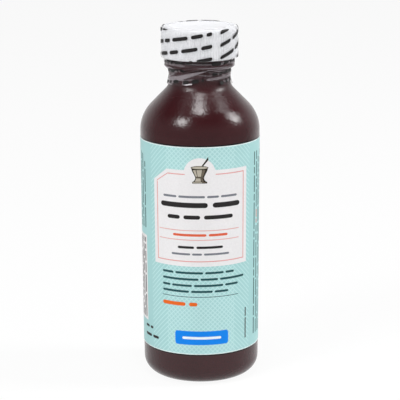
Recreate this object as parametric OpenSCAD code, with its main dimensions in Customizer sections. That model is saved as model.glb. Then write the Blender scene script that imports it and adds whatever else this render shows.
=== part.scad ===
// Solution bottle with a ribbed screw cap, a foam liner, a tear-off shrink band and a wrap-around label.
// Millimetres, +Z up, origin at the centre of the standing face.

/* [Bottle body] */
// Radius of the body where the shoulder starts
body_r = 20.5; // [17:0.25:26]
// How much narrower the radius is at the heel
body_draw = 0.5; // [0:0.1:1]
// Height at which the shoulder starts
body_h = 86.4; // [60:0.5:130]
// Radius of the rounded heel
heel_r = 5.7; // [3:0.1:7]
// Wall thickness of the body
wall = 1.0; // [0.7:0.05:1.5]
// Width of the flat ring that the bottle stands on
foot_w = 2.3; // [1.5:0.1:4]
// Depth of the hollow inside the standing ring
push_up = 1.5; // [0.6:0.1:3]

/* [Shoulder and neck] */
// Radius of the shoulder's outward curve
shoulder_r = 13.1; // [9:0.1:14]
// Slope at which the shoulder's straight part leans in
shoulder_angle = 44.6; // [38:0.2:52]
// Radius of the inward curve under the neck
fillet_r = 4.4; // [2:0.1:6]
// Length of the plain neck under the bead
neck_len = 4.7; // [3:0.1:9]
// Radius of the neck, which is also the root of its thread
neck_r = 10.5; // [9.6:0.05:11.5]
// Radius of the bore through the neck
bore_r = 8.4; // [6.6:0.1:8.8]
// How far the bead stands out of the neck
bead_out = 1.35; // [0.8:0.05:1.6]
// Height of the bead
bead_h = 2.0; // [1.2:0.1:3]
// Height of the threaded finish, from the bead to the rim
finish_h = 9.8; // [9:0.1:12]

/* [Screw thread] */
// Rise of the thread in one turn, 8 turns to the inch
pitch = 3.175; // [3.175:0.001:3.175]
// How far the neck's thread stands out
thread_out = 1.25; // [0.9:0.05:1.35]
// Length of the neck's thread in turns
neck_turns = 1.25; // [1:0.05:1.4]
// Length of the cap's thread in turns
cap_turns = 1.1; // [1:0.05:1.2]
// Axial width of a thread at its root
thread_root_w = 1.9; // [1.6:0.05:2]
// Axial width of a thread at its crest
thread_crest_w = 0.8; // [0.6:0.05:0.9]
// Radial room between each thread's crest and the wall that it faces
thread_room = 0.35; // [0.25:0.05:0.5]
// Drop from the rim to the top end of the neck's thread
thread_drop = 2.0; // [1.8:0.1:2.6]

/* [Cap and liner] */
// Wall thickness of the cap between its ribs and its thread
cap_wall = 0.75; // [0.6:0.05:1.2]
// Depth of the ribs
rib_depth = 0.2; // [0.1:0.05:0.4]
// Number of ribs
ribs = 80; // [48:1:96]
// Thickness of the cap's top
cap_top_t = 1.2; // [0.8:0.1:2]
// Radius of the cap's rounded top edge
cap_edge_r = 0.8; // [0.4:0.1:1]
// Gap between the cap's skirt and the bead
skirt_gap = 1.3; // [0.8:0.1:2.5]
// Thickness of the liner
liner_t = 0.8; // [0.5:0.1:1.2]
// Room between the liner's edge and the cap's inner wall
liner_room = 0.1; // [0.05:0.05:0.3]

/* [Shrink band] */
// Thickness of the film
film_t = 0.15; // [0.1:0.01:0.25]
// Room between the film and what it hugs
film_room = 0.05; // [0.03:0.01:0.1]
// Width of the film's fold on the cap's top
lip_w = 2.6; // [1.5:0.1:5]
// Gap at the tear line
tear_gap = 0.05; // [0.03:0.01:0.2]
// How far the film reaches down onto the curve under the neck
film_skirt = 1.3; // [0.5:0.1:1.8]
// How far the film's lower edge flares off that curve
film_flare = 0.3; // [0.1:0.05:0.6]

/* [Label] */
// Height of the label's lower edge
label_z = 11.4; // [8:0.1:16]
// Room between the label's upper edge and the shoulder
label_margin = 2.2; // [1:0.1:6]
// Thickness of the label
label_t = 0.1; // [0.06:0.01:0.2]
// Room between the label and the bottle
label_room = 0.03; // [0.02:0.01:0.06]
// Width of the strip where the label's ends overlap
seam_w = 5; // [3:0.5:10]

/* [Contents] */
// Height of the solution's surface under the start of the shoulder, negative when it lies above it
fill_drop = -2; // [-6:0.5:30]
// Room between the solution and the wall
fill_room = 0.1; // [0.05:0.01:0.2]

/* [Hidden] */
$fn = 96;

// Steps in a rounded stretch of an outline
arc_steps = 8;
// Steps in one turn of a thread
turn_steps = 40;
// Turns over which a thread's end fades out
fade_turns = 0.08;
// How far a thread's root is sunk into its wall
sink = 0.3;
// Height over which the body's hollow narrows to the bore
throat_h = 1.6;
// Chamfer along the bead's edges
bead_chamfer = 0.5;

// Length of the shoulder's straight part, between its two curves
slope_len = (body_r - neck_r - (shoulder_r + fillet_r) * (1 - cos(shoulder_angle))) / sin(shoulder_angle);
neck_z = body_h + (shoulder_r + fillet_r) * sin(shoulder_angle) + slope_len * cos(shoulder_angle);
bead_z = neck_z + neck_len;
finish_z = bead_z + bead_h;
rim_z = finish_z + finish_h;
bead_r = neck_r + bead_out;
foot_r = body_r - body_draw - heel_r;

thread_crest_r = neck_r + thread_out;
cap_inner_r = thread_crest_r + thread_room;
cap_crest_r = neck_r + thread_room;
cap_core_r = cap_inner_r + cap_wall;
cap_r = cap_core_r + rib_depth;
// Radius of the smooth shell that the ribbed ring is wrapped round
cap_shell_r = cap_core_r - rib_depth / 2;
skirt_z = finish_z + skirt_gap;
cap_roof_z = rim_z + liner_t;
cap_top_z = cap_roof_z + cap_top_t;

neck_thread_z = rim_z - thread_drop - neck_turns * pitch;
cap_thread_z = neck_thread_z - pitch / 2;
cap_thread_start = max(0, (skirt_z + thread_root_w / 2 + sink - cap_thread_z) / pitch);

film_in_r = cap_r + film_room;
film_out_r = film_in_r + film_t;
label_top_z = body_h - label_margin;
fill_z = body_h - fill_drop;

// Points of an arc about a centre, from angle a to angle b
function arc(x, z, r, a, b) = [for (i = [0:arc_steps]) let (t = a + (b - a) * i / arc_steps)
    [x + r * cos(t), z + r * sin(t)]];

// Outline of the body from its foot to its neck, moved in by d along its own normal
function body_path(d) = concat(
    arc(foot_r, heel_r, heel_r - d, -90, 0),
    arc(body_r - shoulder_r, body_h, shoulder_r - d, 0, shoulder_angle),
    arc(neck_r + fillet_r, neck_z, fillet_r + d, 180 + shoulder_angle, 180)
);

// Radius of the wall a depth below the neck's foot, on its inward curve
function neck_curve(depth) = neck_r + fillet_r - sqrt(fillet_r * fillet_r - depth * depth);

// Radius of the body's wall at a height between the heel and the shoulder
function body_radius(z) = body_r - body_draw * (body_h - z) / (body_h - heel_r);

// Cross-section of a thread at a turn, pointing out (side 1) or in (side -1)
function thread_ring(t, turns, root_r, crest_r, z, side) =
    let (fade = min(1, t / fade_turns, (turns - t) / fade_turns),
         tip_r = root_r - side * sink / 2 + fade * (crest_r - root_r + side * sink / 2),
         base_r = root_r - side * sink,
         half_root = thread_root_w / 2,
         half_tip = thread_crest_w / 2)
    [for (p = [[base_r, -half_root], [tip_r, -half_tip], [tip_r, half_tip], [base_r, half_root]])
        [p[0] * cos(t * 360), p[0] * sin(t * 360), z + t * pitch + p[1]]];

// Helical ridge made of one cross-section for each step of its turns
module thread(turns, root_r, crest_r, z, side) {
    n = ceil(turns * turn_steps);
    points = [for (i = [0:n]) each thread_ring(turns * i / n, turns, root_r, crest_r, z, side)];
    flanks = [for (i = [0:n - 1], k = [0:3]) let (a = i * 4 + k, b = i * 4 + (k + 1) % 4)
        each [[a, b, b + 4], [a, b + 4, a + 4]]];
    last = n * 4;
    ends = [[0, 2, 1], [0, 3, 2], [last, last + 1, last + 2], [last, last + 2, last + 3]];
    faces = concat(flanks, ends);
    polyhedron(points, side > 0 ? faces : [for (f = faces) [f[0], f[2], f[1]]]);
}

// Thin shell turned from a path, thickened outwards by t
module turned_skin(path, t) {
    rotate_extrude() polygon(concat(path, [for (i = [len(path) - 1:-1:0]) path[i] + [t, 0]]));
}

module bottle() color([0.25, 0.16, 0.16]) {
    inside = body_path(wall);
    outside = concat(
        [[0, push_up], [foot_r - foot_w - push_up, push_up], [foot_r - foot_w, 0]],
        body_path(0),
        [[neck_r, bead_z], [bead_r - bead_chamfer, bead_z], [bead_r, bead_z + bead_chamfer],
         [bead_r, finish_z - bead_chamfer], [bead_r - bead_chamfer, finish_z], [neck_r, finish_z],
         [neck_r, rim_z]]
    );
    hollow = concat(
        [[bore_r, rim_z], [bore_r, neck_z + throat_h]],
        [for (i = [len(inside) - 1:-1:0]) inside[i]],
        [[foot_r - foot_w, wall], [foot_r - foot_w - push_up, push_up + wall], [0, push_up + wall]]
    );
    rotate_extrude() polygon(concat(outside, hollow));
    thread(neck_turns, neck_r, thread_crest_r, neck_thread_z, 1);
}

module cap_outline() {
    step = 360 / ribs;
    polygon([for (i = [0:ribs - 1], k = [0, 1]) let (r = k == 0 ? cap_r : cap_core_r)
        [r * cos((i + k / 2) * step), r * sin((i + k / 2) * step)]]);
}

module cap() color([0.94, 0.94, 0.93]) {
    rotate_extrude() polygon(concat(
        [[cap_inner_r, skirt_z], [cap_shell_r, skirt_z]],
        arc(cap_shell_r - cap_edge_r, cap_top_z - cap_edge_r, cap_edge_r, 0, 90),
        [[0, cap_top_z], [0, cap_roof_z], [cap_inner_r, cap_roof_z]]
    ));
    translate([0, 0, skirt_z]) linear_extrude(cap_top_z - cap_edge_r - skirt_z) difference() {
        cap_outline();
        circle(cap_shell_r - rib_depth);
    }
    rotate(cap_thread_start * 360) thread(cap_turns, cap_inner_r, cap_crest_r,
        cap_thread_z + cap_thread_start * pitch, -1);
}

module cap_liner() color([0.97, 0.97, 0.95]) {
    translate([0, 0, rim_z]) cylinder(h = liner_t, r = cap_inner_r - liner_room);
}

module shrink_band_cap() color([0.92, 0.93, 0.94, 0.5]) {
    lip_z = cap_top_z + film_room;
    rotate_extrude() polygon([
        [film_in_r, skirt_z], [film_out_r, skirt_z], [film_out_r, lip_z + film_t],
        [film_out_r - lip_w, lip_z + film_t], [film_out_r - lip_w, lip_z], [film_in_r, lip_z]
    ]);
}

module shrink_band_neck() color([0.92, 0.93, 0.94, 0.5]) {
    bead_hug = bead_r + film_room;
    neck_hug = neck_r + film_room;
    flare_r = neck_curve(film_skirt) + film_room + film_flare;
    turned_skin([
        [flare_r, neck_z - film_skirt], [neck_hug, neck_z + film_skirt / 2],
        [neck_hug, bead_z - bead_chamfer * 2], [bead_hug, bead_z],
        [bead_hug, finish_z], [film_in_r, skirt_z - tear_gap]
    ], film_t);
}

module label() color([0.69, 0.87, 0.87]) {
    low = body_radius(label_z) + label_room;
    high = body_radius(label_top_z) + label_room;
    seam_angle = seam_w / body_r * 180 / PI;
    turned_skin([[low, label_z], [high, label_top_z]], label_t);
    rotate(90 - seam_angle / 2) rotate_extrude(angle = seam_angle)
        polygon([[low, label_z], [low + 2 * label_t, label_z], [high + 2 * label_t, label_top_z],
            [high, label_top_z]]);
}

module solution() color([0.85, 0.92, 0.96]) {
    inner = body_path(wall + fill_room);
    intersection() {
        rotate_extrude() polygon(concat(
            [[0, push_up + wall + fill_room], [foot_r - foot_w - push_up, push_up + wall + fill_room],
             [foot_r - foot_w, wall + fill_room]],
            inner,
            [[0, neck_z]]
        ));
        cylinder(h = fill_z, r = body_r);
    }
}

bottle();
cap();
cap_liner();
shrink_band_cap();
shrink_band_neck();
label();
solution();
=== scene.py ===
import math
import random

import bpy
from mathutils import Matrix, Vector, noise


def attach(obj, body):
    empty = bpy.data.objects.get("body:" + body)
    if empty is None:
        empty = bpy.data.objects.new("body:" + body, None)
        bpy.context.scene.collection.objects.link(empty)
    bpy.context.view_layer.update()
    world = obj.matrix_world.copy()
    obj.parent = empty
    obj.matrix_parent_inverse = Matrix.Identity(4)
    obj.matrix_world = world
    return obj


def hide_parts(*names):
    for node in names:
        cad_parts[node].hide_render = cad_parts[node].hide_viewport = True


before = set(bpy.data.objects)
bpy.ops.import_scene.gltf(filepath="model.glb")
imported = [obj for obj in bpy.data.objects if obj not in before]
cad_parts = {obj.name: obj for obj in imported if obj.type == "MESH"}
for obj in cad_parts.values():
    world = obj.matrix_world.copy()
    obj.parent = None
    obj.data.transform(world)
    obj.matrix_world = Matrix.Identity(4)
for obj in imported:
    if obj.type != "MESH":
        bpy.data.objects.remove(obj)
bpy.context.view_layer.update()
mm = 0.001
print("frame loaded:", ", ".join(sorted(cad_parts)))


# a socket that takes part in ordinary sums

class Wire:
    def __init__(self, finish, socket):
        self.finish = finish
        self.socket = socket

    def math(self, operation, other=None, flip=False):
        pair = [self] if other is None else [other, self] if flip else [self, other]
        return self.finish.node("Math", {"operation": operation}, dict(enumerate(pair)))

    def __add__(self, other):
        return self.math("ADD", other)

    def __radd__(self, other):
        return self.math("ADD", other, True)

    def __sub__(self, other):
        return self.math("SUBTRACT", other)

    def __rsub__(self, other):
        return self.math("SUBTRACT", other, True)

    def __mul__(self, other):
        return self.math("MULTIPLY", other)

    def __rmul__(self, other):
        return self.math("MULTIPLY", other, True)

    def __truediv__(self, other):
        return self.math("DIVIDE", other)

    def __rtruediv__(self, other):
        return self.math("DIVIDE", other, True)

    def __lt__(self, other):
        return self.math("LESS_THAN", other)

    def __gt__(self, other):
        return self.math("GREATER_THAN", other)

    def most(self, other):
        return self.math("MAXIMUM", other)

    def capped(self):
        return self.math("MINIMUM", 1.0).math("MAXIMUM", 0.0)


class Finish:
    def __init__(self, owner, output="OutputMaterial"):
        self.owner = owner
        owner.use_nodes = True
        self.tree = owner.node_tree
        self.tree.nodes.clear()
        self.output = self.tree.nodes.new("ShaderNode" + output)

    def plug(self, socket, value):
        if isinstance(value, Wire):
            self.tree.links.new(value.socket, socket)
        else:
            socket.default_value = value

    def node(self, kind, settings=None, sockets=None, out=0):
        added = self.tree.nodes.new("ShaderNode" + kind)
        for key, value in (settings or {}).items():
            setattr(added, key, value)
        for key, value in (sockets or {}).items():
            self.plug(added.inputs[key], value)
        return Wire(self, added.outputs[out])

    def mixed(self, share, first, second):  # colours go through Mix and stay colours
        return self.node("Mix", {"data_type": "RGBA"}, {0: share, 6: first, 7: second}, 2)

    def place(self):  # x, y and z of the surface in millimetres
        split = self.node("SeparateXYZ", None, {0: self.node("TexCoord", out=3)}).socket.node
        return [Wire(self, split.outputs[k]) * 1000 for k in range(3)]

    def grain(self, size, detail=2.0, rough=0.5):  # noise with cells of this many millimetres
        return self.node("TexNoise", None, {"Vector": self.node("TexCoord", out=3), "Scale": 1000 / size,
                                            "Detail": detail, "Roughness": rough})

    def bumped(self, height, depth, strength=1.0):  # depth in millimetres
        return self.node("Bump", None, {"Height": height, "Distance": depth * mm, "Strength": strength})

    def shader(self, **values):
        sockets = {key.replace("_", " "): value for key, value in values.items()}
        self.plug(self.output.inputs["Surface"], self.node("BsdfPrincipled", None, sockets))
        return self.owner


def fresh(name):
    return Finish(bpy.data.materials.new(name))


def ramp(value, start, end):  # 0 at the start, 1 at the end
    return ((value - start) / (end - start)).capped()


def paint(red, green, blue):  # screen colour to the share of light that a surface sends back
    def level(c):
        c = c / 255
        return c / 12.92 if c <= 0.04045 else ((c + 0.055) / 1.055) ** 2.4
    return (level(red), level(green), level(blue), 1.0)


# finishes

# the edge colour, its share and its width paint a shadow in a thin band along the label's upper and lower
# edges
brown = {"deep": (44, 14, 17), "warm": (62, 25, 29), "edge": (10, 6, 7), "edgeShadowShare": 0.95, "edgeShadowWidth": 0.5,
         "rough": 0.17, "uneven": 0.06, "gloss": 0.41, "cloud": 16, "peelSize": 0.8, "peelDepth": 0.095,
         "dull": (96.0, 102.5), "dullRough": 0.14}


def brownPlastic(labelEnds):
    f = fresh("brownPlastic")
    cloud = f.grain(brown["cloud"], 3.0)
    peel = f.grain(brown["peelSize"], 2.0, 0.55)
    z = f.place()[2]
    low, high = labelEnds
    # painted shadow: near black in a band 0.5 mm wide just above the label's upper edge and just below its
    # lower edge
    rim = ((z > high) * (z < high + brown["edgeShadowWidth"])).most((z < low) * (z > low - brown["edgeShadowWidth"]))
    plastic = f.mixed(cloud, paint(*brown["deep"]), paint(*brown["warm"]))
    colour = f.mixed(rim * brown["edgeShadowShare"], plastic, paint(*brown["edge"]))
    rough = brown["rough"] + brown["uneven"] * cloud + brown["dullRough"] * ramp(z, *brown["dull"])
    return f.shader(Base_Color=colour, Roughness=rough, IOR=1.5, Specular_IOR_Level=brown["gloss"],
                    Normal=f.bumped(peel, brown["peelDepth"]))


white = {"low": (227, 228, 232), "high": (232, 232, 234), "cloud": 7, "rough": 0.55, "uneven": 0.1,
         "gloss": 0.15, "grain": 0.45, "depth": 0.03, "strength": 0.4}


def whitePlastic():
    f, w = fresh("whitePlastic"), white
    cloud = f.grain(w["cloud"])
    return f.shader(Base_Color=f.mixed(cloud, paint(*w["low"]), paint(*w["high"])),
                    Specular_IOR_Level=w["gloss"], Roughness=w["rough"] + w["uneven"] * cloud,
                    Normal=f.bumped(f.grain(w["grain"]), w["depth"], w["strength"]))


sponge = {"low": (238, 237, 230), "high": (250, 249, 244), "cells": 2600.0, "rough": 0.85, "uneven": 0.05}


def foam():
    f = fresh("foam")
    cells = f.node("TexVoronoi", None, {"Vector": f.node("TexCoord", out=3), "Scale": sponge["cells"]})
    return f.shader(Base_Color=f.mixed(cells, paint(*sponge["low"]), paint(*sponge["high"])),
                    Roughness=sponge["rough"] + sponge["uneven"] * cells, Normal=f.bumped(cells, 0.08, 0.5))


filmLooks = {
    "capFilmLook": {"clear": 0.05, "spread": 0.12, "thin": (232, 233, 236), "folded": (244, 244, 245),
                    "grain": 1.6, "relief": 0.06},
    # on the neck the folded colour also paints highlights and glints where the film catches light
    "neckFilmLook": {"clear": 0.08, "spread": 0.44, "thin": (104, 92, 96), "folded": (204, 194, 200),
                     "grain": 1.1, "relief": 0.10},
}


def clearFilm(name):  # the piece's own stored paleness says where the film is pale: random haze on the cap, folds with painted highlights and glints on the neck
    f, look = fresh(name), filmLooks[name]
    hazeAndGlint = f.node("Attribute", {"attribute_name": "hazeAndGlint"}, out=2)
    fine = f.grain(look["grain"], 3.0, 0.6)
    cover = (look["clear"] + look["spread"] * hazeAndGlint + 0.06 * fine).capped()
    return f.shader(Base_Color=f.mixed(hazeAndGlint.capped(), paint(*look["thin"]), paint(*look["folded"])),
                    Roughness=0.14 + 0.16 * fine, Alpha=cover, Normal=f.bumped(fine, look["relief"]))


hatch = {"pitch": 1.63, "share": 0.27, "cross": 12.2, "reach": 19.3, "strength": 0.38, "margin": 0.3,
         "cutShare": 0.8, "ground": ((159, 206, 206), (169, 214, 214)), "line": (222, 247, 245),
         "cut": (236, 247, 246)}


def labelStock(ends, arcRadius):  # pale green-blue with a fine lattice, plain towards the sides
    f = fresh("labelStock")
    x, y, z = f.place()
    s = f.node("Math", {"operation": "ARCTAN2"}, {0: x, 1: 0 - y}) * arcRadius
    away = s.math("ABSOLUTE")

    def stripes(value):  # 200 whole stripes keep the sum above zero
        return (value / hatch["pitch"] + 200).math("FRACT") < hatch["share"]
    middle = away < hatch["cross"]
    falling = stripes(z + s) * middle.most(s > 0)
    rising = stripes(z - s) * middle.most(s < 0)
    drawn = falling.most(rising) * (away < hatch["reach"])
    cloud = f.grain(14, 3.0)
    ground = f.mixed(cloud, paint(*hatch["ground"][0]), paint(*hatch["ground"][1]))
    low, high = ends
    cut = (z > high - hatch["margin"]).most(z < low + hatch["margin"])
    hatched = f.mixed(drawn * hatch["strength"], ground, paint(*hatch["line"]))
    return f.shader(Base_Color=f.mixed(cut * hatch["cutShare"], hatched, paint(*hatch["cut"])),
                    Roughness=0.42 + 0.06 * cloud, Specular_IOR_Level=0.4,
                    Normal=f.bumped(f.grain(1.1), 0.03, 0.3))


inks = {"paper": (239, 237, 238), "pink": (226, 160, 154), "dark": (40, 38, 38), "grey": (122, 126, 134),
        "coral": (226, 100, 68), "teal": (36, 82, 86), "orange": (236, 104, 30), "blue": (0, 134, 240),
        "pale": (240, 248, 252), "stone": (188, 180, 164), "shade": (112, 102, 88), "bark": (48, 42, 34)}


def printInk(name, colour):
    f = fresh("ink_" + name)
    speck = f.grain(0.6)
    darker = tuple(c * 0.88 for c in colour[:3]) + (1.0,)
    return f.shader(Base_Color=f.mixed(speck, darker, colour), Roughness=0.48 + 0.06 * speck,
                    Specular_IOR_Level=0.2)


def clearLiquid():
    f = fresh("clearLiquid")
    cloud = f.grain(16)
    return f.shader(Base_Color=f.mixed(cloud, paint(214, 232, 240), paint(226, 240, 246)),
                    Roughness=0.05 + 0.03 * cloud, Alpha=0.35, IOR=1.33)


# making meshes

def built(name, points, faces, material, body):
    mesh = bpy.data.meshes.new(name)
    mesh.from_pydata(points, [], faces)
    mesh.materials.append(material)
    mesh.shade_smooth()
    mesh.set_sharp_from_angle(angle=math.radians(38))
    piece = bpy.data.objects.new(name, mesh)
    bpy.context.scene.collection.objects.link(piece)
    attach(piece, body)
    return piece


def arc(x, z, r, start, end, steps=20):
    angles = [math.radians(start + (end - start) * i / steps) for i in range(steps + 1)]
    return [(x + r * math.cos(a), z + r * math.sin(a)) for a in angles]


def along(stops, step):  # even points on straight stretches
    path = [stops[0]]
    for (r0, z0), (r1, z1) in zip(stops, stops[1:]):
        n = max(1, math.ceil(math.hypot(r1 - r0, z1 - z0) / step))
        path += [(r0 + (r1 - r0) * i / n, z0 + (z1 - z0) * i / n) for i in range(1, n + 1)]
    return path


def radiusAt(path, z):  # radius of an upward path at a height
    for (r0, z0), (r1, z1) in zip(path, path[1:]):
        if z0 <= z <= z1 and z1 > z0:
            return r0 + (r1 - r0) * (z - z0) / (z1 - z0)
    return path[0][0] if z < path[0][1] else path[-1][0]


def onRound(r, a, z):  # angle 0 faces the front, and grows to the right
    return (r * math.sin(a) * mm, -r * math.cos(a) * mm, z * mm)


def smooth(t):
    t = max(0.0, min(1.0, t))
    return t * t * (3 - 2 * t)


def turned(name, loop, sides, material, body, shape=None):  # closed loop of (radius, height)
    rings, points, faces = [], [], []
    for r, z in loop:
        if r < 1e-6:
            rings.append([len(points)] * sides)
            points.append((0.0, 0.0, (shape(0.0, 0.0, z)[1] if shape else z) * mm))
            continue
        rings.append(range(len(points), len(points) + sides))
        for k in range(sides):
            a = 2 * math.pi * k / sides
            radius, height = shape(a, r, z) if shape else (r, z)
            points.append(onRound(radius, a, height))
    onAxis = loop[0][0] < 1e-6 and loop[-1][0] < 1e-6
    for i in range(len(loop) - (1 if onAxis else 0)):
        low, high = rings[i], rings[(i + 1) % len(loop)]
        for k in range(sides):
            n = (k + 1) % sides
            corners = list(dict.fromkeys([low[k], low[n], high[n], high[k]]))
            if len(corners) > 2:
                faces.append(corners)
    return built(name, points, faces, material, body)


thread = {"pitch": 3.175, "width": 1.9, "height": 1.25, "turns": 1.25, "fade": 0.09, "stepsPerTurn": 72,
          "across": 9, "sink": 0.2, "drop": 2.0, "fullness": 2.6}


def screwThread(name, turns, start, root, crest, firstZ, material, body):
    t, side = thread, 1 if crest > root else -1
    steps, count = int(turns * t["stepsPerTurn"]), t["across"]
    foot = root - side * t["sink"]
    points, faces = [], []
    for i in range(steps + 1):
        turn = turns * i / steps
        tall = smooth(min(turn, turns - turn) / t["fade"])
        for k in range(count):
            u = -1 + 2 * k / (count - 1)
            r = foot + (crest - foot) * (1 - abs(u) ** t["fullness"]) * tall
            z = firstZ + (turn + start) * t["pitch"] + u * t["width"] / 2
            points.append(onRound(r, 2 * math.pi * (turn + start) + math.pi / 2, z))
    for i in range(steps):
        for k in range(count):
            n = (k + 1) % count
            quad = [i * count + k, (i + 1) * count + k, (i + 1) * count + n, i * count + n]
            faces.append(quad if side > 0 else quad[::-1])
    first, last = list(range(count)), list(range(steps * count, (steps + 1) * count))
    faces += [first, last[::-1]] if side > 0 else [first[::-1], last]
    return built(name, points, faces, material, body)


# bottle

bottle = {
    "radius": 20.5, "draw": 0.5, "shoulderZ": 86.4, "heel": 5.7, "foot": 2.3, "pushUp": 1.5, "slope": 3.4,
    "wall": 1.0, "shoulder": 13.1, "lean": 44.6, "fillet": 4.4, "neck": 10.5, "neckLength": 4.7, "bore": 8.4,
    "throat": 1.6, "bead": 11.85, "beadHeight": 2.0, "finish": 9.8, "beadRound": 0.5, "rimRound": 0.45,
    "parting": 0.05, "partingWidth": 0.35, "partingFrom": 3, "partingFade": 4,
    "pinch": 0.22, "pinchLength": 8.0, "pinchWidth": 0.4, "pinchFade": 1.5, "sides": 240,
}


def bottleHeights(b):
    lean, reach = math.radians(b["lean"]), b["shoulder"] + b["fillet"]
    slope = (b["radius"] - b["neck"] - reach * (1 - math.cos(lean))) / math.sin(lean)
    neckZ = b["shoulderZ"] + reach * math.sin(lean) + slope * math.cos(lean)
    beadZ = neckZ + b["neckLength"]
    finishZ = beadZ + b["beadHeight"]
    return neckZ, beadZ, finishZ, finishZ + b["finish"]


neckZ, beadZ, finishZ, rimZ = bottleHeights(bottle)
footR = bottle["radius"] - bottle["draw"] - bottle["heel"]
threadZ = rimZ - thread["drop"] - thread["turns"] * thread["pitch"]  # where the neck's thread starts


def bodyRadius(z):  # wall between the heel and the shoulder
    b = bottle
    return b["radius"] - b["draw"] * (b["shoulderZ"] - z) / (b["shoulderZ"] - b["heel"])


def bodyPath(b, inset):  # from the foot up to the neck
    heel = arc(footR, b["heel"], b["heel"] - inset, -90, 0)
    shoulder = arc(b["radius"] - b["shoulder"], b["shoulderZ"], b["shoulder"] - inset, 0, b["lean"])
    fillet = arc(b["neck"] + b["fillet"], neckZ, b["fillet"] + inset, 180 + b["lean"], 180, 12)
    return heel + along([heel[-1], shoulder[0]], 4)[1:-1] + shoulder + fillet


def buildBottle(material):
    b = bottle
    inFoot = footR - b["foot"]
    inner = inFoot - b["slope"]
    e, q = b["beadRound"], b["rimRound"]
    outside = bodyPath(b, 0)
    base = along([(0, b["pushUp"]), (inner, b["pushUp"])], 0.6)
    base += [(inner + (inFoot - inner) * t, b["pushUp"] * (1 - smooth(t))) for t in (0.2, 0.4, 0.6, 0.8, 1)]
    bead = arc(b["bead"] - e, beadZ + e, e, -90, 0, 6) + arc(b["bead"] - e, finishZ - e, e, 0, 90, 6)
    rim = arc(b["neck"] - q, rimZ - q, q, 0, 90, 6) + arc(b["bore"] + q, rimZ - q, q, 90, 180, 6)
    inside = [(b["bore"], neckZ + b["throat"])] + list(reversed(bodyPath(b, b["wall"])))
    floor = [(inFoot, b["wall"]), (inner, b["pushUp"] + b["wall"]), (0, b["pushUp"] + b["wall"])]
    loop = base + outside + [(b["neck"], beadZ)] + bead + [(b["neck"], finishZ)] + rim + inside + floor

    def mouldMarks(a, r, z):  # where the two halves of the mould met, up the sides and across the base
        if z == b["pushUp"] and r <= inner:
            reach = smooth((b["pinchLength"] - abs(r * math.sin(a))) / b["pinchFade"])
            return r, z - b["pinch"] * reach * math.exp(-(r * math.cos(a) / b["pinchWidth"]) ** 2)
        if b["partingFrom"] < z < neckZ and abs(r - radiusAt(outside, z)) < 0.2:
            gap = min(abs(a - math.pi / 2), abs(a - 3 * math.pi / 2)) * r
            fade = b["partingFade"]
            ends = smooth((z - b["partingFrom"]) / fade) * smooth((neckZ - z) / fade)
            return r + b["parting"] * ends * math.exp(-(gap / b["partingWidth"]) ** 2), z
        return r, z
    shell = turned("bottleShell", loop, b["sides"], material, "bottle_body", mouldMarks)
    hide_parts("bottle")
    crest = b["neck"] + thread["height"]
    screwThread("neckThread", thread["turns"], 0.0, b["neck"], crest, threadZ, material,
                "bottle_body")
    print("bottle built")


# cap and liner

cap = {"inner": 12.1, "shell": 12.75, "rib": 0.22, "ribs": 80, "top": 1.2, "edge": 0.9, "skirtGap": 1.3,
       "liner": 0.8, "perRib": 8, "threadCrest": 10.85, "threadTurns": 1.1, "dish": 0.12, "dishIn": 1.7,
       "linerRoom": 0.1, "linerRound": 0.15, "dent": 0.06, "threadIn": 0.3}
skirtZ = finishZ + cap["skirtGap"]
roofZ = rimZ + cap["liner"]
capTopZ = roofZ + cap["top"]


def buildCap(material, foamFinish):
    c = cap
    edgeZ, brim = capTopZ - c["edge"], c["shell"] - c["dishIn"]
    outer = [(c["shell"] - 0.1, skirtZ), (c["shell"], skirtZ + 0.1)]
    outer += along([(c["shell"], skirtZ + 0.35), (c["shell"], edgeZ)], 0.7)
    outer += arc(c["shell"] - c["edge"], edgeZ, c["edge"], 0, 90, 8)[1:]
    top = [(brim, capTopZ), (brim - 0.3, capTopZ - c["dish"]), (0, capTopZ - c["dish"])]
    inner = [(0, roofZ), (c["inner"] - 0.3, roofZ), (c["inner"], roofZ - 0.3), (c["inner"], skirtZ + 0.2),
             (c["inner"] + 0.15, skirtZ)]

    def ribbed(a, r, z):
        if r < c["shell"] - 1e-4 or not skirtZ + 0.2 < z < capTopZ:
            return r, z
        ends = smooth((z - skirtZ - 0.2) / 0.3) * smooth((edgeZ + 0.2 - z) / 0.5)
        return r + ends * c["rib"] * (0.5 + 0.5 * math.cos(c["ribs"] * a)) ** 0.75, z
    sides = c["ribs"] * c["perRib"]
    shell = turned("capShell", outer + top + inner, sides, material, "cap_body", ribbed)
    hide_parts("cap")
    startZ = threadZ - thread["pitch"] / 2
    # the first turn lies just inside the skirt
    start = (skirtZ + thread["width"] / 2 + c["threadIn"] - startZ) / thread["pitch"]
    screwThread("capThread", c["threadTurns"], start, c["inner"], c["threadCrest"], startZ, material,
                "cap_body")
    r, q, t, d = c["inner"] - c["linerRoom"], c["linerRound"], c["liner"], c["dent"]
    bore, neck = bottle["bore"], bottle["neck"]  # the rim presses a ring into the foam
    under = [(0, rimZ - d), (bore - 0.5, rimZ - d), (bore, rimZ), (neck, rimZ), (neck + 0.4, rimZ - d)]
    disc = along(under, 0.6) + [(r - q, rimZ - d)] + arc(r - q, rimZ + q, q, -90, 0, 4)[1:]
    disc += arc(r - q, rimZ + t - q, q, 0, 90, 4) + [(0, rimZ + t)]
    liner = turned("foamLiner", disc, 96, foamFinish, "liner_body")
    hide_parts("cap_liner")
    print("cap and liner built")


# printing is plain bars with round ends, at the scale of lines on a label

printStep = 0.9  # longest straight stretch of print, so that it follows the curve


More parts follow.
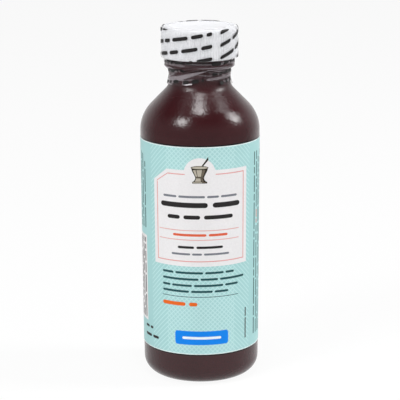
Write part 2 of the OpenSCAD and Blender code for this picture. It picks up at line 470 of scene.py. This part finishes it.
def bar(left, right, middle, height, slope=0.0, pivot=0.0, step=printStep):
    r = min(height, right - left) / 2
    ends = [r * (1 - math.cos(math.radians(a))) for a in (12, 35, 60, 90)]
    n = max(1, math.ceil((right - left - 2 * r) / step))
    stops = [left + e for e in ends] + [left + r + (right - left - 2 * r) * i / n for i in range(1, n)]
    stops += [right - e for e in reversed(ends)]

    def half(s):
        d = max(0.0, min(r, s - left, right - s))
        return height / 2 - r + math.sqrt(max(0.0, r * r - (r - d) ** 2))
    stops = sorted({round(s, 6) for s in stops})
    return (stops, lambda s: middle + slope * (s - pivot) - half(s),
            lambda s: middle + slope * (s - pivot) + half(s))


def barRow(left, right, middle, height, shares, slope=0.0, upright=False, step=printStep):
    gap = height * 0.95
    unit = (right - left - gap * (len(shares) - 1)) / sum(shares)
    pivot, row, at = (left + right) / 2, [], left
    for share in shares:
        end = at + share * unit
        if upright:  # runs up the bottle
            row.append(bar(middle - height / 2, middle + height / 2, (at + end) / 2, end - at))
        else:
            row.append(bar(at, end, middle, height, slope, pivot, step))
        at = end + gap
    return row


def block(left, low, right, high):
    n = max(1, math.ceil((right - left) / printStep))
    return ([left + (right - left) * i / n for i in range(n + 1)], lambda s: low, lambda s: high)


def plate(name, shapes, put, material, body, tall=40.0):  # each shape is a thin closed slab
    points, faces = [], []
    for stops, low, high, *crosswise in shapes:
        rows = max(1, math.ceil(max(high(s) - low(s) for s in stops) / tall))
        first, wide, up = len(points), len(stops), rows + 1
        for under in (False, True):
            for s in stops:
                across = [low(s) + (high(s) - low(s)) * k / rows for k in range(up)]
                points += [put(z, s, under) if crosswise else put(s, z, under) for z in across]

        def at(i, k, under=0):
            return first + under * wide * up + i * up + k
        for i in range(wide - 1):
            for k in range(rows):
                faces.append((at(i, k), at(i + 1, k), at(i + 1, k + 1), at(i, k + 1)))
                faces.append((at(i, k, 1), at(i, k + 1, 1), at(i + 1, k + 1, 1), at(i + 1, k, 1)))
            faces.append((at(i, 0, 1), at(i + 1, 0, 1), at(i + 1, 0), at(i, 0)))
            faces.append((at(i, rows), at(i + 1, rows), at(i + 1, rows, 1), at(i, rows, 1)))
        for k in range(rows):
            faces.append((at(0, k, 1), at(0, k), at(0, k + 1), at(0, k + 1, 1)))
            faces.append((at(wide - 1, k), at(wide - 1, k, 1), at(wide - 1, k + 1, 1), at(wide - 1, k + 1)))
    return built(name, points, faces, material, body)


# label

label = {"low": 11.4, "high": 84.2, "thick": 0.085, "room": 0.03, "overlap": 5.0, "columns": 300,
         "ink": 0.012, "arc": bottle["radius"] - bottle["draw"] / 2}
panel = {"side": 17.5, "low": 42.8, "high": 76.3, "chamferLow": 72.0, "chamferIn": 5.7,
         "bumpR": 5.4, "bumpZ": 75.1, "bumpAt": -0.2}
trim = {"side": 16.1, "low": 44.4, "high": 75.0, "chamferLow": 71.9, "chamferIn": 4.7, "line": 0.34,
        "gap": 5.2, "rules": (52.1, 55.4), "ruleEnds": (-15.1, 13.9), "ruleHalf": 0.12,
        "apart": 0.02}
badge = {"left": -9.2, "right": 9.7, "low": 14.9, "high": 19.8, "corner": 0.9, "line": (6.8, 0.9)}
lines = [  # colour, left, right, middle height, bar height, shares of its length
    ("grey", -13.2, 13.0, 67.1, 0.75, (5, 9, 4, 6)), ("dark", -14.3, 14.2, 64.2, 1.75, (10, 6)),
    ("dark", -11.6, 11.4, 60.0, 1.35, (4, 5, 9)), ("coral", -9.6, 9.4, 53.8, 0.85, (7, 4)),
    ("dark", -7.9, 7.7, 49.5, 0.85, (5, 8)), ("grey", -10.2, 10.0, 47.1, 0.7, (6, 3, 8)),
    ("teal", -13.9, 11.9, 40.5, 0.75, (4, 9, 6, 3)), ("teal", -13.9, 16.2, 38.25, 0.75, (11, 5, 8)),
    ("teal", -13.9, 13.6, 36.0, 0.75, (3, 7, 10, 5)), ("teal", -13.9, 9.7, 33.9, 0.75, (8, 6, 4)),
    ("orange", -14.0, -1.2, 29.4, 1.3, (6, 2)), ("dark", -24.6, -19.4, 18.6, 0.9, (3, 2)),
    ("dark", -24.6, -16.4, 15.6, 0.95, (4, 3)),
]


def onLabel(layer):  # layer 1 is printed on the label, layer 2 on layer 1
    def put(s, z, under):
        r = bodyRadius(z) + label["room"] + label["thick"] + label["ink"] * (layer - under)
        return onRound(r, s / label["arc"], z)
    return put


def buildLabel(material, ink):
    g = label
    turn = 2 * math.pi + g["overlap"] / g["arc"]
    heights = along([(0, g["low"]), (0, g["high"])], 6)
    points, faces = [], []
    for i in range(g["columns"] + 1):
        travelled = turn * i / g["columns"]
        a = math.pi + 0.5 * g["overlap"] / g["arc"] - travelled
        lift = smooth((travelled - turn + (g["overlap"] + 2) / g["arc"]) * g["arc"] / 2) * (g["thick"] + 0.01)
        for side, column in ((0, heights), (1, heights[::-1])):
            points += [onRound(bodyRadius(z) + g["room"] + lift + side * g["thick"], a, z) for _, z in column]
    size = 2 * len(heights)
    for i in range(g["columns"]):
        for k in range(size):
            m = (k + 1) % size
            faces.append((i * size + k, (i + 1) * size + k, (i + 1) * size + m, i * size + m))
    faces += [tuple(range(size)), tuple(reversed(range(g["columns"] * size, (g["columns"] + 1) * size)))]
    sleeve = built("labelSleeve", points, faces, material, "bottle_body")
    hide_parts("label")
    buildPanel(ink)
    buildLines(ink)
    buildEmblem(ink)
    print("label built")


def evenly(left, right, n):
    return [left + (right - left) * i / n for i in range(n + 1)]


def buildPanel(ink):
    p, t, w = panel, trim, trim["line"]

    def panelTop(s):
        chamfer = p["chamferLow"] + (s + p["side"]) / p["chamferIn"] * (p["high"] - p["chamferLow"])
        top, off = min(p["high"], chamfer), abs(s - p["bumpAt"])
        if off >= p["bumpR"]:
            return top
        return max(top, p["bumpZ"] + math.sqrt(p["bumpR"] ** 2 - off ** 2))

    def trimTop(s):
        chamfer = t["chamferLow"] + (s + t["side"]) / t["chamferIn"] * (t["high"] - t["chamferLow"])
        return min(t["high"], chamfer)
    plate("labelPanel", [(evenly(-p["side"], p["side"], 160), lambda s: p["low"], panelTop)], onLabel(1),
          ink["paper"], "bottle_body")
    upper, lower = w + t["apart"], t["low"] + w + t["apart"]
    shapes = [block(-t["side"], lower, -t["side"] + w, t["chamferLow"] - upper),
              block(t["side"] - w, lower, t["side"], t["high"] - upper),
              block(-t["side"], t["low"], t["side"], t["low"] + w),
              (evenly(-t["side"], -t["gap"], 60), lambda s: trimTop(s) - w, trimTop),
              block(t["gap"], t["high"] - w, t["side"], t["high"])]
    left, right = t["ruleEnds"]
    shapes += [block(left, z - t["ruleHalf"], right, z + t["ruleHalf"]) for z in t["rules"]]
    plate("labelTrim", shapes, onLabel(2), ink["pink"], "bottle_body")
    b = badge
    middle, half = (b["left"] + b["right"]) / 2, (b["right"] - b["left"]) / 2

    def cutCorner(s):
        over = max(0.0, abs(s - middle) - half + b["corner"])
        return b["corner"] - math.sqrt(max(0.0, b["corner"] ** 2 - over ** 2))
    face = (evenly(b["left"], b["right"], 80), lambda s: b["low"] + cutCorner(s),
            lambda s: b["high"] - cutCorner(s))
    plate("badgeBlock", [face], onLabel(1), ink["blue"], "bottle_body")
    reach, height = b["line"]
    stripe = bar(middle - reach, middle + reach, (b["low"] + b["high"]) / 2, height)
    plate("badgeLine", [stripe], onLabel(2), ink["pale"], "bottle_body")


lowerRule = (-14.1, 31.9, 13.8, 32.1)  # left, low, right, high
sideLines = [  # place round the label, low and high end of lines that run up the bottle
    (-23.6, 53.6, 77.0), (-25.6, 53.6, 79.5), (-27.6, 53.6, 80.0),
    (22.7, 15.4, 80.3), (26.5, 15.4, 78.0), (28.4, 15.4, 80.3), (24.6, 15.4, 54.0), (24.6, 60.5, 80.3),
] + [(32.5 + 1.9 * k, 15.4, 80.3) for k in range(14)]
coralLine, darkLine = (24.6, 54.8, 59.7), (17.3, 15.3, 26.4)
small = {"height": 0.62, "thin": 0.5, "onBlock": 0.7, "share": 5.2}
whiteBlock = {"ends": (-30.4, 20.5, -22.9, 51.0), "lines": (-24.2, -25.9, -27.6, -29.2),
              "low": 21.4, "high": 50.1}


def buildLines(ink):
    rng = random.Random(7)

    def upright(place, low, high, height=small["height"]):
        shares = [rng.randint(2, 9) for _ in range(max(2, round((high - low) / small["share"])))]
        return barRow(low, high, place, height, shares, 0.0, True)
    rows = {}
    for colour, left, right, middle, height, shares in lines:
        rows.setdefault(colour, []).extend(barRow(left, right, middle, height, shares))
    rows["teal"].append(block(*lowerRule))
    for place, low, high in sideLines:
        rows["teal"] += upright(place, low, high)
    rows["coral"] += upright(*coralLine)
    rows["dark"] += upright(*darkLine, small["thin"])
    w = whiteBlock
    plate("labelBlock", [block(*w["ends"])], onLabel(1), ink["paper"], "bottle_body")
    onBlock = []
    for place in w["lines"]:
        onBlock += upright(place, w["low"], w["high"], small["onBlock"])
    plate("blockLines", onBlock, onLabel(2), ink["dark"], "bottle_body")
    for name, shapes in rows.items():
        plate("lines_" + name, shapes, onLabel(2), ink[name], "bottle_body")


mortar = {"foot": 71.8, "waist": 73.7, "brim": 77.2, "footWide": 2.5, "waistWide": 1.45, "brimWide": 2.75,
          "mouth": (2.95, 0.62), "step": 0.55, "footIn": 0.45, "footCurve": 1.5, "bowlCurve": 0.8,
          # tones as shares of the half width
          "light": (("bowl", -0.84, -0.5), ("bowl", -0.4, 0.3), ("foot", -0.8, 0.2), ("step", -0.92, 0.35)),
          "shade": (("bowl", 0.36, 0.72), ("foot", 0.3, 0.66), ("step", 0.42, 0.8), ("band", -0.9, 0.9))}
pestle = {"from": (0.5, 77.2), "to": (2.9, 80.4), "wide": 0.3, "thicken": 0.3}


def buildEmblem(ink):  # a plain turned mortar with its pestle, engraved in three tones
    m, c = mortar, panel["bumpAt"]

    def halfAt(z):
        if z < m["foot"] + m["step"]:
            return m["footWide"]
        if z < m["waist"]:
            t = (z - m["foot"] - m["step"]) / (m["waist"] - m["foot"] - m["step"])
            spread = m["footWide"] - m["footIn"] - m["waistWide"]
            return m["waistWide"] + spread * (1 - smooth(t)) ** m["footCurve"]
        t = smooth((z - m["waist"]) / (m["brim"] - m["waist"]))
        return m["waistWide"] + (m["brimWide"] - m["waistWide"]) * t ** m["bowlCurve"]

    def strip(first, last, low, high):  # between two shares of the half width; its stops run down
        return (evenly(high, low, 20), lambda z: c + first * halfAt(z), lambda z: c + last * halfAt(z), True)

    def oval(width, height, z):
        def half(s):
            return height * math.sqrt(max(0.0, 1 - ((s - c) / width) ** 2)) + 0.01
        stops = evenly(c - width * 0.995, c + width * 0.995, 28)
        return stops, lambda s: z - half(s), lambda s: z + half(s)
    (s0, z0), (s1, z1) = pestle["from"], pestle["to"]

    def stemAt(s, side):  # thicker towards its end
        half = pestle["wide"] * (1 + pestle["thicken"] * (s - c))
        return z0 + (z1 - z0) * (s - c - s0) / (s1 - s0) + side * half
    stem = (evenly(c + s0, c + s1, 12), lambda s: stemAt(s, -1), lambda s: stemAt(s, 1))
    wide, tall = m["mouth"]
    low, waist, brim = m["foot"], m["waist"], m["brim"]
    plate("emblemDark", [strip(-1, 1, low, brim), oval(wide, tall, brim), stem], onLabel(2), ink["bark"],
          "bottle_body", 0.5)
    part = {"bowl": (waist + 0.45, brim - tall - 0.15), "foot": (low + m["step"] + 0.12, waist - 0.1),
            "step": (low + 0.14, low + m["step"] - 0.1), "band": (waist + 0.05, waist + 0.28)}
    light = [strip(first, last, *part[name]) for name, first, last in m["light"]]
    light.append(oval(wide - 0.3, tall - 0.2, brim))
    plate("emblemLight", light, onLabel(3), ink["stone"], "bottle_body", 0.5)
    shade = [strip(first, last, *part[name]) for name, first, last in m["shade"]]
    plate("emblemShade", shade, onLabel(3), ink["shade"], "bottle_body", 0.5)


# shrink band; s runs round the film at this radius, and z is height

film = {"radius": 13.1, "thick": 0.07, "lip": 2.6, "tear": 0.05, "ripple": 0.05, "crumple": 0.2, "skirt": 1.3,
        "flare": 0.55, "sides": 360, "ink": 0.02, "neckInk": 0.05, "arc": 13.3, "corner": 0.8, "neckRows": 46,
        "hazeAndGlint": 0.35, "hazeVary": 0.5, "hazeGrain": 260}
around = 2 * math.pi * film["arc"]
lipZ = capTopZ + 0.03
neckTopZ = skirtZ - film["tear"]
folds = [  # where it starts and ends, half width at each end, how pale it is (folded film, partly a painted highlight) and how far it stands out
    {"from": (-18.5, 103.3), "to": (2.8, 108.3), "wide": (1.5, 0.2), "pale": 0.72, "rise": 0.10},
    {"from": (-0.6, 109.3), "to": (11.5, 109.2), "wide": (0.14, 0.24), "pale": 0.55, "rise": 0.08},
    {"from": (2.8, 108.5), "to": (18.5, 108.7), "wide": (0.18, 0.55), "pale": 0.6, "rise": 0.12},
    {"from": (3.6, 107.8), "to": (17.0, 105.4), "wide": (0.12, 0.24), "pale": 0.6, "rise": 0.16},
    {"from": (3.2, 105.2), "to": (18.5, 106.0), "wide": (0.4, 0.75), "pale": 0.5, "rise": 0.10},
    # painted highlight along the bead's lower edge
    {"from": (-21.0, 109.0), "to": (-11.5, 108.75), "wide": (0.4, 0.2), "pale": 0.95, "rise": 0.08},
    # painted reflection on the bead: paleness only, no relief
    {"from": (-7.0, 111.7), "to": (-7.3, 109.6), "wide": (0.45, 0.3), "pale": 0.5, "rise": 0.0},
    # the next two paint glints: a bright spot on the lower edge and a thin line up its cut corner
    {"from": (-6.8, 103.35), "to": (-3.4, 103.7), "wide": (0.1, 0.2), "pale": 1.9, "rise": 0.10},
    {"from": (-7.7, 105.2), "to": (-7.3, 103.3), "wide": (0.08, 0.1), "pale": 0.9, "rise": 0.08},
    {"from": (-19.5, 107.5), "to": (-14.0, 102.6), "wide": (0.5, 0.9), "pale": 0.6, "rise": 0.08},
    {"from": (16.0, 111.6), "to": (19.0, 103.0), "wide": (0.5, 0.8), "pale": 0.55, "rise": 0.06},
    {"from": (-19.0, 110.3), "to": (-6.0, 110.0), "wide": (0.5, 0.35), "pale": 0.42, "rise": 0.06},
    {"from": (-5.0, 110.7), "to": (9.0, 110.4), "wide": (0.22, 0.3), "pale": 0.36, "rise": 0.06},
    {"from": (7.0, 111.2), "to": (18.5, 109.9), "wide": (0.25, 0.5), "pale": 0.42, "rise": 0.06},
    {"from": (-17.0, 106.9), "to": (-9.0, 107.9), "wide": (0.25, 0.35), "pale": 0.5, "rise": 0.06},
    {"from": (-12.5, 104.2), "to": (-3.0, 105.3), "wide": (0.14, 0.2), "pale": 0.5, "rise": 0.08},
    {"from": (-2.5, 107.0), "to": (5.0, 106.4), "wide": (0.14, 0.2), "pale": 0.42, "rise": 0.08},
    {"from": (6.0, 107.9), "to": (14.0, 107.5), "wide": (0.16, 0.3), "pale": 0.5, "rise": 0.08},
    {"from": (11.0, 104.2), "to": (19.0, 104.4), "wide": (0.2, 0.4), "pale": 0.5, "rise": 0.06},
]
hemStops = [(-24, 102.5), (-14, 102.75), (-7.4, 102.95), (-3.2, 103.5), (-0.8, 104.5), (4.4, 104.85),
            (8, 104.2), (10, 103.1), (15, 102.7), (24, 102.5)]
scatter = {"count": 15, "from": 21.0, "within": (0.1, 0.9), "heights": (103.2, 108.6), "length": (4, 12),
           "highest": 109.2, "slope": (-0.2, 0.34), "wideStart": (0.15, 0.9), "wideEnd": (0.12, 0.4),
           "pale": (0.35, 0.75), "rise": (0.06, 0.15)}


def scatteredFolds(rng):  # the same kind of folds round the sides and the back
    more, c = [], scatter

    def drawn(name):
        return rng.uniform(*c[name])
    for k in range(c["count"]):
        s = c["from"] + (around - 2 * c["from"]) * (k + drawn("within")) / c["count"]
        z, length = drawn("heights"), drawn("length")
        more.append({"from": (s, z), "to": (s + length, min(c["highest"], z + length * drawn("slope"))),
                     "wide": (drawn("wideStart"), drawn("wideEnd")), "pale": drawn("pale"),
                     "rise": drawn("rise")})
    return more


def foldsAt(s, z, every):  # paleness, partly painted highlight, and relief at a place on the film
    pale = rise = 0.0
    for fold in every:
        (s0, z0), (s1, z1) = fold["from"], fold["to"]
        ds = (s - s0 + around / 2) % around - around / 2
        dz, ls, lz = z - z0, s1 - s0, z1 - z0
        t = (ds * ls + dz * lz) / (ls * ls + lz * lz)
        if -0.15 < t < 1.15:
            t = max(0.0, min(1.0, t))
            gap = math.hypot(ds - t * ls, dz - t * lz) / (fold["wide"][0] * (1 - t) + fold["wide"][1] * t)
            if gap < 1.25:
                soft = smooth((1.25 - gap) / 0.5)
                pale = max(pale, fold["pale"] * soft)
                rise = max(rise, fold["rise"] * soft)
    return pale, rise


def bandPath():  # the lower band's inside, from its flared edge up to the tear line
    n, e, low = bottle["neck"] + 0.07, bottle["bead"] + 0.06, neckZ - film["skirt"]
    return [(n + film["flare"], low), (n + 0.12, low + 1.6), (n, neckZ + 1.0), (n, beadZ - 1.0),
            (n + 0.25, beadZ - 0.45), (e - 0.55, beadZ - 0.06), (e - 0.15, beadZ + 0.2), (e, beadZ + 0.55),
            (e, finishZ), (e + 0.25, skirtZ - 0.5), (film["radius"], neckTopZ)]


def hemAt(s):  # uneven lower edge
    s = (s + around / 2) % around - around / 2
    wave = 0.25 + 0.25 * noise.noise(Vector((s * 0.35, 3.1, 0.0)))
    return max(neckZ - film["skirt"], radiusAt([(z, t) for t, z in hemStops], s) if abs(s) < 24
               else neckZ - film["skirt"] + wave)


def crumple(s, z):  # fine uneven relief where the film was drawn in
    hold = smooth((neckTopZ - z) / 1.5)
    at = Vector((math.sin(s / film["arc"]) * 3.2, math.cos(s / film["arc"]) * 3.2, z * 0.5))
    return film["crumple"] * hold * (0.1 + abs(noise.noise(at)) + 0.4 * abs(noise.noise(at * 2.6)))


def neckFilmAt(s, z, every):
    pale, rise = foldsAt(s, z, every)
    return radiusAt(bandPath(), z) + crumple(s, z) + rise * smooth((neckTopZ - z) / 1.0), pale


def ripple(a, z):
    at = Vector((math.sin(a) * 9, math.cos(a) * 9, z * 0.5))
    return film["ripple"] * (0.5 + 0.5 * noise.noise(at))


def withHazeAndGlint(piece, values):
    piece.data.attributes.new("hazeAndGlint", "FLOAT", "POINT").data.foreach_set("value", values)
    return piece


def buildFilm(capLook, neckLook, ink):
    g, t, r = film, film["thick"], film["radius"]
    bend = g["corner"]
    outer = along([(r + t, skirtZ), (r + t, lipZ - bend)], 0.6)
    outer += arc(r - bend, lipZ - bend, bend + t, 0, 90, 6)[1:]
    outer += along([(r - bend, lipZ + t), (r - g["lip"], lipZ + t)], 0.5)[1:]
    inner = along([(r - g["lip"], lipZ), (r - bend, lipZ)], 0.5)
    inner += arc(r - bend, lipZ - bend, bend, 90, 0, 6)[1:]
    inner += along([(r, lipZ - bend), (r, skirtZ)], 0.6)[1:]

    def loose(a, rad, z):
        return (rad, z + ripple(a, rad)) if z > lipZ - 0.1 else (rad + ripple(a, z), z)
    upper = turned("capFilm", outer + inner, g["sides"], capLook, "cap_body", loose)
    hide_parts("shrink_band_cap")
    patchy = [g["hazeAndGlint"] + g["hazeVary"] * noise.noise(v.co * g["hazeGrain"]) for v in upper.data.vertices]
    withHazeAndGlint(upper, patchy)

    every = folds + scatteredFolds(random.Random(5))
    rows, n = g["neckRows"], g["sides"]
    grid, hazeAndGlint = [], []
    for k in range(n):
        s = (k / n) * around
        hem = hemAt(s)
        heights = [hem + (neckTopZ - hem) * j / rows for j in range(rows + 1)]
        column = [neckFilmAt(s, z, every) for z in heights]
        grid.append([(radius, z) for (radius, _), z in zip(column, heights)])
        # paleness of the folds, partly painted highlights and glints
        hazeAndGlint.append([pale for _, pale in column])
    points, faces, values, size = [], [], [], 2 * (rows + 1)
    for k in range(n):
        a = 2 * math.pi * k / n
        points += [onRound(rad + t, a, z) for rad, z in grid[k]]
        points += [onRound(rad, a, z) for rad, z in grid[k][::-1]]
        values += hazeAndGlint[k] + hazeAndGlint[k][::-1]
        m = (k + 1) % n
        for j in range(size):
            i = (j + 1) % size
            faces.append((k * size + j, m * size + j, m * size + i, k * size + i))
    lower = built("neckFilm", points, faces, neckLook, "bottle_body")
    withHazeAndGlint(lower, values)
    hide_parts("shrink_band_neck")
    buildFilmLines(ink, every)
    print("shrink band built")


def onCapFilm(s, z, under):  # up the side, round the edge and on to the top
    bend, out = film["corner"], film["thick"] + film["ripple"] + film["ink"] * (1 - under)
    past = z - (lipZ - bend)
    if past <= 0:
        return onRound(film["radius"] + out, s / film["arc"], z)
    turn = min(past / bend, math.pi / 2)
    inward = max(0.0, past - bend * math.pi / 2)
    r = film["radius"] - bend + (bend + out) * math.cos(turn) - inward
    return onRound(r, s / film["arc"], lipZ - bend + (bend + out) * math.sin(turn))


def clipped(shapes, low, high):
    kept = []
    for stops, under, over in shapes:
        inside = [s for s in stops if min(over(s), high) - max(under(s), low) > 0.1]
        if len(inside) > 1:
            kept.append((inside, lambda s, f=under: max(f(s), low), lambda s, f=over: min(f(s), high)))
    return kept


filmPrint = {"pitch": 4.2, "height": 1.25, "share": 5.5, "neckShare": 3.2}
# ends round the film, height of a line at its middle, rise per mm, how far it goes over the edge
filmLines = [
    {"ends": (-21.6, 4.4), "start": 114.73, "slope": 0.165, "over": -0.25},
    {"ends": (7.4, 26.5), "start": 115.8, "slope": 0.32, "over": -0.1},
    {"ends": (29.6, 59.2), "start": 115.0, "slope": 0.165, "over": 1.8},
]
neckLines = [  # the same lines drawn in on the neck: ends, middle height, slope, bar height
    # the rows near 111 mm, in the band under the cap, are print and also stand in for the painted shade there
    (-20.5, -6.6, 107.9, 0.05, 1.5), (-21.0, 3.5, 111.0, 0.05, 1.1), (4.6, 18.0, 110.9, 0.04, 1.3),
    (-7.2, 1.6, 104.6, 0.12, 1.3), (9.0, 17.5, 104.2, 0.1, 1.4), (5.4, 18.0, 107.2, 0.05, 1.1),
    (-19.5, -9.5, 103.9, 0.1, 1.0), (22.0, 40.0, 110.8, 0.1, 1.2), (43.0, 60.0, 111.0, 0.05, 1.2),
    (21.0, 36.0, 107.0, 0.1, 1.2), (39.0, 58.0, 106.6, 0.12, 1.2), (24.0, 44.0, 103.6, 0.05, 1.1),
    (46.0, 61.5, 104.0, 0.05, 1.1),
]


def buildFilmLines(ink, every):
    rng, g = random.Random(19), filmPrint
    capBars, neckBars = [], []
    for column in filmLines:
        left, right = column["ends"]
        for k in range(-1, 3):
            shares = [rng.randint(2, 7) for _ in range(round((right - left) / g["share"]))]
            bars = barRow(left, right, column["start"] + g["pitch"] * k, g["height"], shares, column["slope"])
            capBars += clipped(bars, skirtZ + 0.1, lipZ + column["over"])
    for left, right, middle, slope, height in neckLines:
        shares = [rng.randint(1, 6) for _ in range(round((right - left) / g["neckShare"]))]
        neckBars += barRow(left, right, middle, height, shares, slope, False, 0.3)

    def onNeckFilm(s, z, under):
        over = film["thick"] + (0 if under else film["neckInk"])
        return onRound(neckFilmAt(s, z, every)[0] + over, s / film["arc"], z)
    plate("capFilmLines", capBars, onCapFilm, ink["dark"], "cap_body", 0.4)
    plate("neckFilmLines", clipped(neckBars, neckZ - 0.9, neckTopZ - 0.4), onNeckFilm, ink["dark"],
          "bottle_body", 0.3)


# stage, lamps and camera

camera = {"back": 599.3, "high": 205.9, "pitch": 13.574, "roll": -0.316, "lens": 159.6, "across": -0.115}
lamps = {  # direction it comes from (round to the right, up), distance, size and power
    "overhead": {"from": (-2, 76), "far": 0.8, "size": (0.15, 0.14), "power": 2.1},
    "leftBox": {"from": (-43, 40), "far": 0.95, "size": (0.24, 0.30), "power": 4.75},
    "rightBox": {"from": (87, 36), "far": 0.95, "size": (0.19, 0.38), "power": 5.1},
    "leftStrip": {"from": (-72, 64), "far": 0.95, "size": (0.07, 0.22), "power": 0.12},
    "rightStrip": {"from": (92, 59), "far": 0.95, "size": (0.07, 0.34), "power": 0.8},
}
sweep = {"light": 0.39, "above": 0.03, "glow": 0.92, "pale": 0.9, "paleTo": 0.10, "dimFrom": 0.30,
         "wall": (0.2, 0.7), "ceiling": (0.3, 0.7)}  # white behind the object, a dim room round the rest


def seenDirectly(f):  # by the camera, in gloss or through clear plastic
    path = f.node("LightPath").socket.node
    rays = [Wire(f, path.outputs[name]) for name in ("Is Camera Ray", "Is Glossy Ray", "Is Transmission Ray")]
    return (rays[0] + rays[1] + rays[2]).capped()


def buildStage():
    scene = bpy.context.scene
    c = camera
    cam = bpy.data.objects.new("camera", bpy.data.cameras.new("camera"))
    scene.collection.objects.link(cam)
    cam.data.sensor_width, cam.data.lens = 36.0, c["lens"]
    cam.data.clip_start, cam.data.clip_end = 0.01, 20.0
    tilt = Matrix.Rotation(math.radians(90 - c["pitch"]), 4, "X")
    roll = Matrix.Rotation(math.radians(c["roll"]), 4, "Z")
    cam.matrix_world = Matrix.Translation((c["across"] * mm, -c["back"] * mm, c["high"] * mm)) @ tilt @ roll
    scene.camera = cam

    f, g = fresh("paleFloor"), sweep
    place = f.node("TexCoord", out=3)
    away = f.node("VectorMath", {"operation": "LENGTH"}, {0: place}, 1)
    sideways = Wire(f, f.node("SeparateXYZ", None, {0: place}).socket.node.outputs[1]) / away.most(0.01)
    room = ramp(away, g["paleTo"], g["dimFrom"]) * (1 - ramp(sideways, *g["wall"]))
    tone = f.mixed(f.grain(300), (g["pale"],) * 3 + (1,), (g["pale"] + 0.03,) * 3 + (1,))
    cloth = f.node("BsdfDiffuse", None, {"Color": tone})
    glow = f.node("Emission", None, {"Color": (1, 1, 1, 1), "Strength": 1 - room * (1 - g["light"])})
    f.plug(f.output.inputs["Surface"],
           f.node("MixShader", None, {0: seenDirectly(f) * g["glow"], 1: cloth, 2: glow}))
    mesh = bpy.data.meshes.new("floor")
    mesh.from_pydata([(-4, -4, 0), (4, -4, 0), (4, 4, 0), (-4, 4, 0)], [], [(0, 1, 2, 3)])
    mesh.materials.append(f.owner)
    floor = bpy.data.objects.new("floor", mesh)
    floor.location.z = -0.0001
    scene.collection.objects.link(floor)

    scene.world = bpy.data.worlds.new("studio")
    w = Finish(scene.world, "OutputWorld")
    toward = w.node("SeparateXYZ", None, {0: w.node("TexCoord")}).socket.node
    overhead = ramp(Wire(w, toward.outputs[2]), *g["ceiling"])
    room = g["light"] + (g["above"] - g["light"]) * overhead
    wall = ramp(Wire(w, toward.outputs[1]), *g["wall"]) * (1 - overhead)
    level = room + (1 - room) * seenDirectly(w) * wall
    w.plug(w.output.inputs["Surface"], w.node("Background", None, {"Color": (1, 1, 1, 1), "Strength": level}))

    aim = Vector((0, 0, 0.075))  # the lamps point at the label's upper half
    for name, lamp in lamps.items():
        turn, up = (math.radians(v) for v in lamp["from"])
        away = Vector((math.sin(turn) * math.cos(up), -math.cos(turn) * math.cos(up), math.sin(up)))
        data = bpy.data.lights.new(name, "AREA")
        data.shape = "RECTANGLE"
        data.size, data.size_y = lamp["size"]
        data.energy = lamp["power"]
        light = bpy.data.objects.new(name, data)
        light.location = aim + away * lamp["far"]
        light.rotation_mode = "QUATERNION"
        light.rotation_quaternion = (-away).to_track_quat("-Z", "Y")
        scene.collection.objects.link(light)
    scene.view_settings.view_transform = "Standard"
    print("stage, lamps and camera ready")


buildStage()
ink = {name: printInk(name, paint(*colour)) for name, colour in inks.items()}
labelEnds = (label["low"], label["high"])
buildBottle(brownPlastic(labelEnds))
buildCap(whitePlastic(), foam())
buildLabel(labelStock(labelEnds, label["arc"]), ink)
buildFilm(clearFilm("capFilmLook"), clearFilm("neckFilmLook"), ink)
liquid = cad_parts["solution"]
liquid.data.materials.clear()
liquid.data.materials.append(clearLiquid())
print("solution finished")
